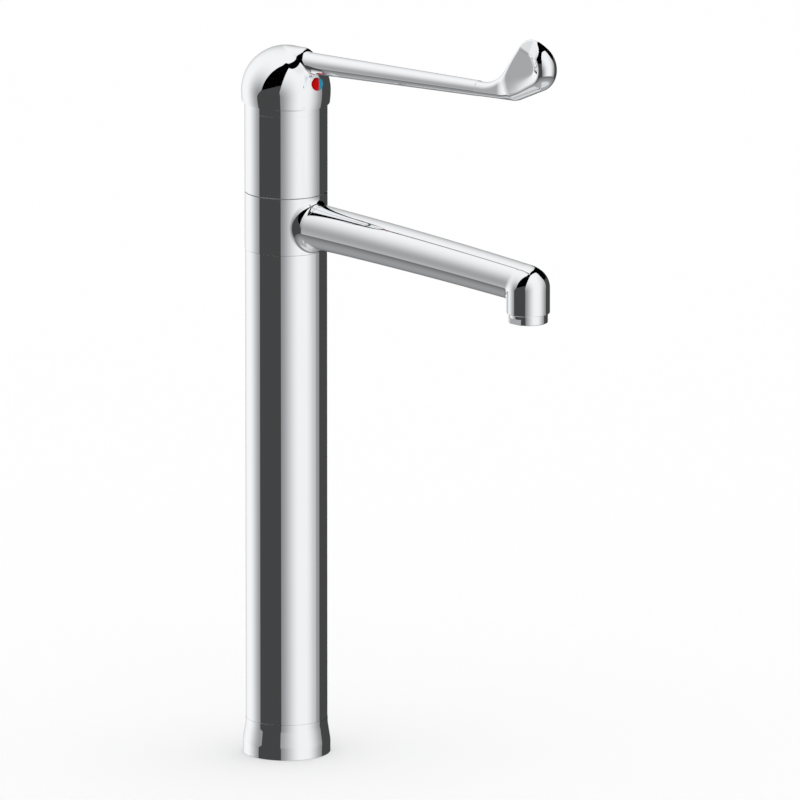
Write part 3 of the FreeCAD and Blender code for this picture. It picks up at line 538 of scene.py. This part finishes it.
def turned_piece(name, node, outline, arc_steps, material):
    """A chrome piece turned from an outline."""
    mesh_parts = lathe_mesh(outline, TURN_SEGMENTS, arc_steps)
    new_piece(name, mesh_parts, node, material)


def joint_height(name):
    """Height of a joint's origin."""
    for joint in frame["joints"]:
        if joint["name"] == name:
            return joint["pos_m"][2] / MM
    raise ValueError(name)


PIVOT_Z = joint_height("lever_lift")
SPOUT_Z = joint_height("spout_swivel")
LEVER_LOW = box_mm("lever_handle")[0]
SPOUT_LOW, SPOUT_HIGH = box_mm("spout")
SLEEVE_LOW, SLEEVE_HIGH = box_mm("upper_sleeve")
CROWN_LOW, CROWN_HIGH = box_mm("crown_cap")
RING_LOW, RING_HIGH = box_mm("base_ring")
GASKET_HIGH = box_mm("base_gasket")[1]
BUTTON_LOW, BUTTON_HIGH = box_mm("index_button_hot")
BUTTON_R = (BUTTON_HIGH[2] - BUTTON_LOW[2]) / 2
BUTTON_Z = (BUTTON_HIGH[2] + BUTTON_LOW[2]) / 2
AERATOR_LOW, AERATOR_HIGH = box_mm("aerator_housing")

# Lever hub
HUB_R = -LEVER_LOW[0]
HUB_CENTRE = 11.9         # dome's centre above the pivot
HUB_TAPER = 0.45          # drawn in by this much at the lower edge
HUB_EDGE = 4.9            # lower edge above the pivot, on the axis
HUB_EDGE_SLOPE = math.radians(2.0)
HUB_BORE_R = 25.9
STEM_LEAN = math.radians(12.5)
STEM_HALF = 4.05          # socket's half width and its end along the stem
STEM_TOP = 24.05
BOSS_R = 8.0              # boss round the socket, and its start along the stem
BOSS_CLEAR = 13.6
GRUB_BOSS_R = 5.6
GRUB_R = 2.5
BUTTON_FIT = 0.05
ROOT_FILLET = (3.0, 8.5)  # between hub and root, above and below, and at the sides
ROD_CREASE = 1.0          # width of the soft crease between root and rod

# Lever rod and paddle, seen from the side: (ahead of the axis, above the pivot, corner radius)
PADDLE = [(150.0, 32.7, 0.0), (194.0, 35.2, 14.0), (231.6, 52.0, 14.4),
          (219.0, 69.0, 14.4), (204.1, 78.6, 10.4), (177.2, 43.0, 26.0), (150.0, 42.0, 0.0)]
ROD_R_START = 6.743       # radius on the tap's axis
ROD_TAPER = 0.01195
ROD_AXIS = 30.7           # above the pivot, on the tap's axis
ROD_SLOPE = math.radians(2.6)
ROOT_X = 13.0             # the rod's thicker root ends in a ball centred here
ROOT_R = 8.9
NECK_X = 162.0            # the paddle's flatter neck takes over from the rod here
NECK_HALF = 4.2
SWELL_X = 180.5           # the paddle widens from here
SWELL_END_X = 198.0
PADDLE_HALF = 7.8
ROOF_AT = (203.3, 68.8)   # the cheeks slope inward above a line through here
ROOF_ALONG = math.radians(-17.5)
ROOF_TILT = math.radians(31.0)
ROOF_END_X = 208.0        # past here the slope runs out into the nose
ROOF_RUN_OUT = 0.6
ROOF_ROUND = 0.6
POCKET_HALF = 5.0         # half thickness between the two pockets' floors
POCKET_SLOPE = 0.43       # of its wall
RIDGE_ROUND = 0.7         # where the pocket's wall meets the round edge
POCKET = [(166.0, 42.6, 0.0), (197.0, 42.8, 14.0), (213.4, 57.2, 6.0), (210.0, 65.6, 5.0),
          (199.0, 71.0, 1.0), (186.0, 95.0, 0.0), (160.0, 90.0, 0.0)]
POCKET_SOFT_LOW = 5.0     # width of the soft start of its wall at the bottom
POCKET_SOFT_HIGH = 0.4    # and at the top
POCKET_SOFT_Z = (44.0, 56.0)
LEVER_STEP = 0.45


def paddle_half(x):
    return part_way((NECK_HALF, PADDLE_HALF), ease(x, SWELL_X, SWELL_END_X))


def lever_rod(x, y, up):
    """Slim tapered rod, its thicker ball-ended root, the cosine between the root's and the dome's
    normals, and the radius of the fillet between them."""
    above = (up - ROD_AXIS - x * math.tan(ROD_SLOPE)) * math.cos(ROD_SLOPE)
    off = np.maximum(np.hypot(y, above), TINY)
    rod = np.maximum(off - ROD_R_START + ROD_TAPER * x, np.maximum(-x, x - NECK_X))
    from_dome = np.maximum(np.sqrt(x * x + y * y + (up - HUB_CENTRE) ** 2), TINY)
    root = np.maximum(np.hypot(off, np.maximum(x - ROOT_X, 0.0)) - ROOT_R, -x)
    cosine = (y * y + above * (up - HUB_CENTRE)) / off / from_dome
    return rod, root, cosine, part_way(ROOT_FILLET, y * y / off / off)


def lever_paddle(x, y, up, outline, pocket):
    """The side outline with a full round edge, a sloped roof, and a shallow pocket in each cheek."""
    half = paddle_half(x)
    body = np.hypot(np.maximum(outline.distance(x, up) + half, 0.0), y) - half
    above = (up - ROOF_AT[1]) * math.cos(ROOF_ALONG) - (x - ROOF_AT[0]) * math.sin(ROOF_ALONG)
    above = above - ROOF_RUN_OUT * np.maximum(x - ROOF_END_X, 0.0)
    roof = above * math.sin(ROOF_TILT) + (np.abs(y) - POCKET_HALF) * math.cos(ROOF_TILT)
    body = round_common(body, roof, ROOF_ROUND)
    outside = pocket.distance(x, up)
    soft = part_way((POCKET_SOFT_LOW, POCKET_SOFT_HIGH), ease(up, *POCKET_SOFT_Z))
    wall = (outside + np.sqrt(outside * outside + soft * soft)) / 2
    cheek = (np.abs(y) - POCKET_HALF - POCKET_SLOPE * wall) / math.hypot(1.0, POCKET_SLOPE)
    return np.maximum(round_common(body, cheek, RIDGE_ROUND), NECK_X - x)


def lever_hub(x, y, up):
    """Dome on a round side that draws in towards its lower edge."""
    across = np.hypot(x, y)
    above = up - HUB_CENTRE
    depth = np.minimum(above, 0.0) / (HUB_CENTRE - HUB_EDGE)
    side = across - HUB_R + HUB_TAPER * depth * depth
    return np.where(above > 0, np.hypot(across, above) - HUB_R, side)


def lever_inside(x, y, up):
    """The hub's cavity with its stem boss, the stem's socket, the grub hole and the button's seat."""
    across = np.hypot(x, y)
    above = up - HUB_CENTRE
    cavity = np.where(above > 0, np.hypot(across, above), across) - HUB_BORE_R
    along = x * math.sin(STEM_LEAN) + up * math.cos(STEM_LEAN)
    off = x * math.cos(STEM_LEAN) - up * math.sin(STEM_LEAN)
    boss = np.maximum(np.hypot(off, y) - BOSS_R, BOSS_CLEAR - along)
    from_grub = np.hypot(y, up - BUTTON_Z + PIVOT_Z)
    boss = np.minimum(boss, np.maximum(from_grub - GRUB_BOSS_R, -x))
    cavity = np.maximum(cavity, -boss)
    socket = np.maximum(np.maximum(np.abs(off), np.abs(y)) - STEM_HALF, along - STEM_TOP)
    grub = np.maximum(from_grub - GRUB_R, -off)
    seat = np.maximum(from_grub - BUTTON_R - BUTTON_FIT, BUTTON_LOW[0] - x)
    return np.minimum(np.minimum(cavity, socket), np.minimum(grub, seat))


def lever_shape():
    outline = Outline(PADDLE)
    pocket = Outline(POCKET)

    def distance(p):
        x, y, z = p
        up = z - PIVOT_Z
        rod, root, cosine, fillet = lever_rod(x, y, up)
        edge = (HUB_EDGE - x * math.tan(HUB_EDGE_SLOPE) - up) * math.cos(HUB_EDGE_SLOPE)
        hub = np.maximum(lever_hub(x, y, up), edge)
        solid = smooth_union(ball_union(hub, root, cosine, fillet), rod, ROD_CREASE)
        solid = np.minimum(solid, lever_paddle(x, y, up, outline, pocket))
        return np.maximum(solid, -lever_inside(x, y, up))

    return distance


def make_lever(material):
    shaped_piece("lever", "lever_handle", lever_shape(), LEVER_STEP, MESH_MARGIN, material)


# Spout
COLLAR_R = -SPOUT_LOW[0]
COLLAR_Z = (SPOUT_Z - (SLEEVE_LOW[2] - SPOUT_Z), SPOUT_HIGH[2])
COLLAR_NEAR = 2 * COLLAR_R    # further out, the arm may hang lower than the collar
NOZZLE_X = (AERATOR_LOW[0] + AERATOR_HIGH[0]) / 2
NOZZLE_R = SPOUT_HIGH[0] - NOZZLE_X
NOZZLE_Z = SPOUT_LOW[2]
NOZZLE_CHAMFER = 0.25
NOZZLE_DROP = 2.0         # dome's centre below the arm's axis
ARM_R = (14.05, 11.8)     # radius on the column's axis and at the nozzle
ARM_DROP = (math.radians(1.0), math.radians(3.55))    # its slope there
ARM_END = 2.0             # the arm's round end is centred this far before the nozzle's axis
ARM_END_STEPS = 4000      # heights tried to find the arm's axis over the nozzle
ARM_NOZZLE_CREASE = 1.0
ARM_FILLET = (3.6, 8.5)   # between collar and arm, above and below, and at the sides
COLLAR_BORE = 20.05
GALLERY_R = 22.3          # the groove inside the collar that feeds the arm
GALLERY_HALF = 5.5
WATERWAY_R = 8.6
THREAD_R = 11.6
THREAD_DEPTH = 8.6
SEAM = 0.3                # below the collar
SPOUT_STEP = 0.8


def arm_axis(x, z):
    """Distance from the arm's curved axis within its own plane."""
    bend = NOZZLE_X / (math.sin(ARM_DROP[1]) - math.sin(ARM_DROP[0]))
    top_x = -bend * math.sin(ARM_DROP[0])
    centre_z = SPOUT_Z - bend * math.cos(ARM_DROP[0])
    return np.hypot(x - top_x, z - centre_z) - bend


def arm_end_z():
    """Height of the arm's axis over the nozzle."""
    level = np.linspace(NOZZLE_Z, SPOUT_Z, ARM_END_STEPS)
    return level[np.abs(arm_axis(NOZZLE_X, level)).argmin()]


def spout_shape():
    """Collar, arm and domed nozzle, with the waterway from the collar's bore to the outlet's thread."""
    end_z = arm_end_z()

    def distance(p):
        x, y, z = p
        across = np.hypot(x, y)
        off = arm_axis(x, z)
        radius = part_way(ARM_R, x / NOZZLE_X)
        past = np.maximum(x - NOZZLE_X + ARM_END, 0.0)
        arm = np.maximum(np.sqrt(y * y + off * off + past * past) - radius, -x)
        from_nozzle = np.hypot(x - NOZZLE_X, y)
        nozzle = np.hypot(from_nozzle, np.maximum(z - end_z + NOZZLE_DROP, 0.0)) - NOZZLE_R
        chamfer = (from_nozzle - NOZZLE_R + NOZZLE_Z + NOZZLE_CHAMFER - z) * math.sqrt(0.5)
        nozzle = np.maximum(nozzle, np.maximum(NOZZLE_Z - z, chamfer))
        arm = smooth_union(arm, nozzle, ARM_NOZZLE_CREASE)
        cosine = y * y / np.maximum(across * np.hypot(y, off), TINY)
        fillet = part_way(ARM_FILLET, y * y / np.maximum(y * y + off * off, TINY))
        body = ball_union(across - COLLAR_R, arm, cosine, fillet)
        under = np.where(across < COLLAR_NEAR, COLLAR_Z[0] + SEAM - z, -1.0)
        body = np.maximum(body, np.maximum(z - COLLAR_Z[1], under))
        bore = across - COLLAR_BORE
        gallery = np.maximum(across - GALLERY_R, np.abs(z - SPOUT_Z) - GALLERY_HALF)
        way = np.maximum(np.hypot(y, off) - WATERWAY_R, np.maximum(-x, x - NOZZLE_X))
        drop = np.maximum(from_nozzle - WATERWAY_R, z - end_z)
        crown = np.hypot(from_nozzle, z - end_z) - WATERWAY_R
        thread = np.maximum(from_nozzle - THREAD_R, z - NOZZLE_Z - THREAD_DEPTH)
        holes = np.minimum.reduce([bore, gallery, way, drop, crown, thread])
        return np.maximum(body, -holes)

    return distance


def make_spout(material):
    shaped_piece("spout_arm", "spout", spout_shape(), SPOUT_STEP, MESH_MARGIN, material)


# Turned pieces, and the outlet ring
EDGE_ROUND = 0.25
FLUSH_ROUND = 0.04        # where two pieces meet without a visible seam
ARC_STEPS = 4             # mesh steps round an edge, and in the flare
FLARE_STEPS = 10
SLEEVE_WALL = 2.0
CROWN_WALL = 4.25
CROWN_STRAIGHT = 5.2      # height of its straight wall
CROWN_ROUND = 3.0
CROWN_TOP_R = 23.7
RING_BORE = 24.05
RING_NECK_R = 25.15
RING_NECK_Z = 18.0        # the flare's slope starts and ends here, before rounding
RING_FOOT_Z = 7.4
RING_FLARE_ROUND = 14.0
RING_FOOT_EXTRA = 0.1     # the foot stands out past its plain solid by this much
GASKET_WIDE = 1.2         # of the groove under the ring
HOUSING_FLAT_HALF = 11.0
HOUSING_FLAT_H = 3.6
HOUSING_EDGE = 0.3
HOUSING_FLAT_EDGE = 0.1
HOUSING_SPIGOT_R = 11.5
HOUSING_BORE = 10.1
HOUSING_LIP = 1.2
HOUSING_STEP = 0.4
HOUSING_MARGIN = 2.0


def make_sleeve(material):
    outer = SLEEVE_HIGH[0]
    inner = outer - SLEEVE_WALL
    outline = Outline([(inner, SLEEVE_LOW[2], EDGE_ROUND), (outer, SLEEVE_LOW[2], EDGE_ROUND),
                       (outer, SLEEVE_HIGH[2], FLUSH_ROUND), (inner, SLEEVE_HIGH[2], FLUSH_ROUND)])
    turned_piece("sleeve", "upper_sleeve", outline, ARC_STEPS, material)


def make_crown(material):
    """Straight wall up to just under the hub's edge, then rounded in to clear its bore."""
    wall = CROWN_HIGH[0]
    inner = wall - CROWN_WALL
    low = CROWN_LOW[2]
    high = CROWN_HIGH[2]
    outline = Outline([(inner, low, EDGE_ROUND), (wall, low, FLUSH_ROUND),
                       (wall, low + CROWN_STRAIGHT, CROWN_ROUND), (CROWN_TOP_R, high, EDGE_ROUND),
                       (inner, high, EDGE_ROUND)])
    turned_piece("crown", "crown_cap", outline, ARC_STEPS, material)


def make_base_ring(material):
    """Foot ring: a straight neck, a soft flare and a straight foot, with the gasket's groove below."""
    foot = RING_HIGH[0] + RING_FOOT_EXTRA
    low = RING_LOW[2]
    high = RING_HIGH[2]
    groove_out = GASKET_HIGH[0]
    groove_in = groove_out - GASKET_WIDE
    groove_z = GASKET_HIGH[2]
    outline = Outline([(RING_BORE, low, FLUSH_ROUND), (groove_in, low, FLUSH_ROUND),
                       (groove_in, groove_z, FLUSH_ROUND), (groove_out, groove_z, FLUSH_ROUND),
                       (groove_out, low, FLUSH_ROUND), (foot, low, EDGE_ROUND),
                       (foot, RING_FOOT_Z, RING_FLARE_ROUND),
                       (RING_NECK_R, RING_NECK_Z, RING_FLARE_ROUND),
                       (RING_NECK_R, high, FLUSH_ROUND), (RING_BORE, high, FLUSH_ROUND)])
    turned_piece("foot_ring", "base_ring", outline, FLARE_STEPS, material)


def housing_shape():
    """Outlet ring with two spanner flats, on a spigot that screws into the nozzle."""
    low = AERATOR_LOW[2]
    outer = (AERATOR_HIGH[0] - AERATOR_LOW[0]) / 2

    def distance(p):
        x, y, z = p
        across = np.hypot(x - NOZZLE_X, y)
        collar = round_common(across - outer, np.maximum(low - z, z - NOZZLE_Z), HOUSING_EDGE)
        flat = np.minimum(np.abs(y) - HOUSING_FLAT_HALF, low + HOUSING_FLAT_H - z)
        collar = round_common(collar, flat, HOUSING_FLAT_EDGE)
        spigot_ends = np.maximum(NOZZLE_Z - HOUSING_LIP - z, z - AERATOR_HIGH[2])
        spigot = np.maximum(across - HOUSING_SPIGOT_R, spigot_ends)
        bore = np.maximum(across - HOUSING_BORE, low + HOUSING_LIP - z)
        mouth = across - HOUSING_BORE + HOUSING_LIP
        return np.maximum(np.minimum(collar, spigot), -np.minimum(bore, mouth))

    return distance


def make_housing(material):
    shaped_piece("outlet_ring", "aerator_housing", housing_shape(), HOUSING_STEP, HOUSING_MARGIN, material)


# Materials: two colours and two roughnesses mixed by a noise, and a fine grain. Each row holds
# colour, other colour, metallic, roughness, other roughness, noise per metre, grain, specular.
FINISHES = {
    "chrome_plate": ((0.97, 0.985, 1.0), (0.955, 0.975, 0.995), 1.0, 0.012, 0.03, 35.0, 0.0, 0.5),
    "brass": ((0.84, 0.62, 0.30), (0.74, 0.52, 0.23), 1.0, 0.22, 0.38, 120.0, 0.08, 0.5),
    "copper": ((0.86, 0.47, 0.32), (0.70, 0.34, 0.22), 1.0, 0.20, 0.40, 90.0, 0.05, 0.5),
    "stainless_steel": ((0.64, 0.63, 0.61), (0.52, 0.52, 0.51), 1.0, 0.18, 0.32, 300.0, 0.06, 0.5),
    "black_rubber": ((0.018, 0.018, 0.019), (0.032, 0.031, 0.030), 0.0, 0.55, 0.75, 500.0, 0.25, 0.4),
    "white_plastic": ((0.80, 0.80, 0.77), (0.74, 0.74, 0.71), 0.0, 0.32, 0.45, 160.0, 0.06, 0.5),
    "grey_plastic": ((0.20, 0.21, 0.22), (0.15, 0.16, 0.17), 0.0, 0.38, 0.52, 180.0, 0.10, 0.5),
    "ceramic": ((0.86, 0.83, 0.76), (0.80, 0.76, 0.69), 0.0, 0.10, 0.20, 260.0, 0.03, 0.6),
    "red_plastic": ((0.58, 0.0, 0.0), (0.53, 0.0, 0.0), 0.0, 0.30, 0.42, 400.0, 0.03, 0.05),
    "blue_plastic": ((0.026, 0.285, 0.43), (0.022, 0.26, 0.40), 0.0, 0.30, 0.42, 400.0, 0.03, 0.05),
    "studio_floor": ((1.0, 1.0, 1.0), (0.995, 0.995, 0.995), 0.0, 0.90, 1.0, 3.0, 0.0, 0.0),
}
GRAIN_SCALE = 14.0        # grain is this much finer than the mottling
GRAIN_DEPTH = 0.00002     # metres
NOISE_DETAIL = 3.0


def make_finish(name):
    """The material of one slot, or of the floor."""
    colour, other, metallic, rough, other_rough, scale, grain, specular = FINISHES[name]
    material = bpy.data.materials.new(name)
    material.use_nodes = True
    t = Tree(material.node_tree)
    place = t.add("ShaderNodeTexCoord")
    noise = t.add("ShaderNodeTexNoise")
    noise.inputs["Scale"].default_value = scale
    noise.inputs["Detail"].default_value = NOISE_DETAIL
    t.link(place.outputs["Object"], noise.inputs["Vector"])
    amount = noise.outputs[0]
    blend = t.add("ShaderNodeMix", data_type="RGBA")
    t.link(amount, blend.inputs[0])
    blend.inputs[MIX_COLOURS[0]].default_value = (*colour, 1.0)
    blend.inputs[MIX_COLOURS[1]].default_value = (*other, 1.0)
    shader = t.add("ShaderNodeBsdfPrincipled")
    t.link(blend.outputs[MIX_COLOUR_OUT], shader.inputs["Base Color"])
    shader.inputs["Metallic"].default_value = metallic
    shader.inputs["Specular IOR Level"].default_value = specular
    t.put(t.mix(amount, rough, other_rough), shader.inputs["Roughness"])
    if grain:
        fine = t.add("ShaderNodeTexNoise")
        fine.inputs["Scale"].default_value = scale * GRAIN_SCALE
        t.link(place.outputs["Object"], fine.inputs["Vector"])
        bump = t.add("ShaderNodeBump")
        bump.inputs["Strength"].default_value = grain
        bump.inputs["Distance"].default_value = GRAIN_DEPTH
        t.link(fine.outputs[0], bump.inputs["Height"])
        t.link(bump.outputs[0], shader.inputs["Normal"])
    out = t.add("ShaderNodeOutputMaterial")
    t.link(shader.outputs[0], out.inputs["Surface"])
    return material


FLOOR_HALF = 3.0          # metres


def make_floor():
    """A plain white floor, which the polished surfaces don't see."""
    corners = [(-1, -1), (1, -1), (1, 1), (-1, 1)]
    points = [(x * FLOOR_HALF, y * FLOOR_HALF, 0) for x, y in corners]
    data = bpy.data.meshes.new("floor")
    data.from_pydata(points, [], [(0, 1, 2, 3)])
    floor = bpy.data.objects.new("floor", data)
    bpy.context.scene.collection.objects.link(floor)
    floor.data.materials.append(make_finish("studio_floor"))
    floor.visible_glossy = False


make_camera()
make_world()
make_floor()
materials = {name: make_finish(name) for name in FINISHES if name != "studio_floor"}
chrome = materials["chrome_plate"]
for part in frame["record"]["subparts"]:
    node = frame["nodes"][part["node"]]
    node.data.materials.clear()
    node.data.materials.append(materials[part["material_slot"]])
make_lever(chrome)
make_spout(chrome)
make_sleeve(chrome)
make_crown(chrome)
make_base_ring(chrome)
make_housing(chrome)

bpy.context.scene.view_settings.view_transform = "Standard"
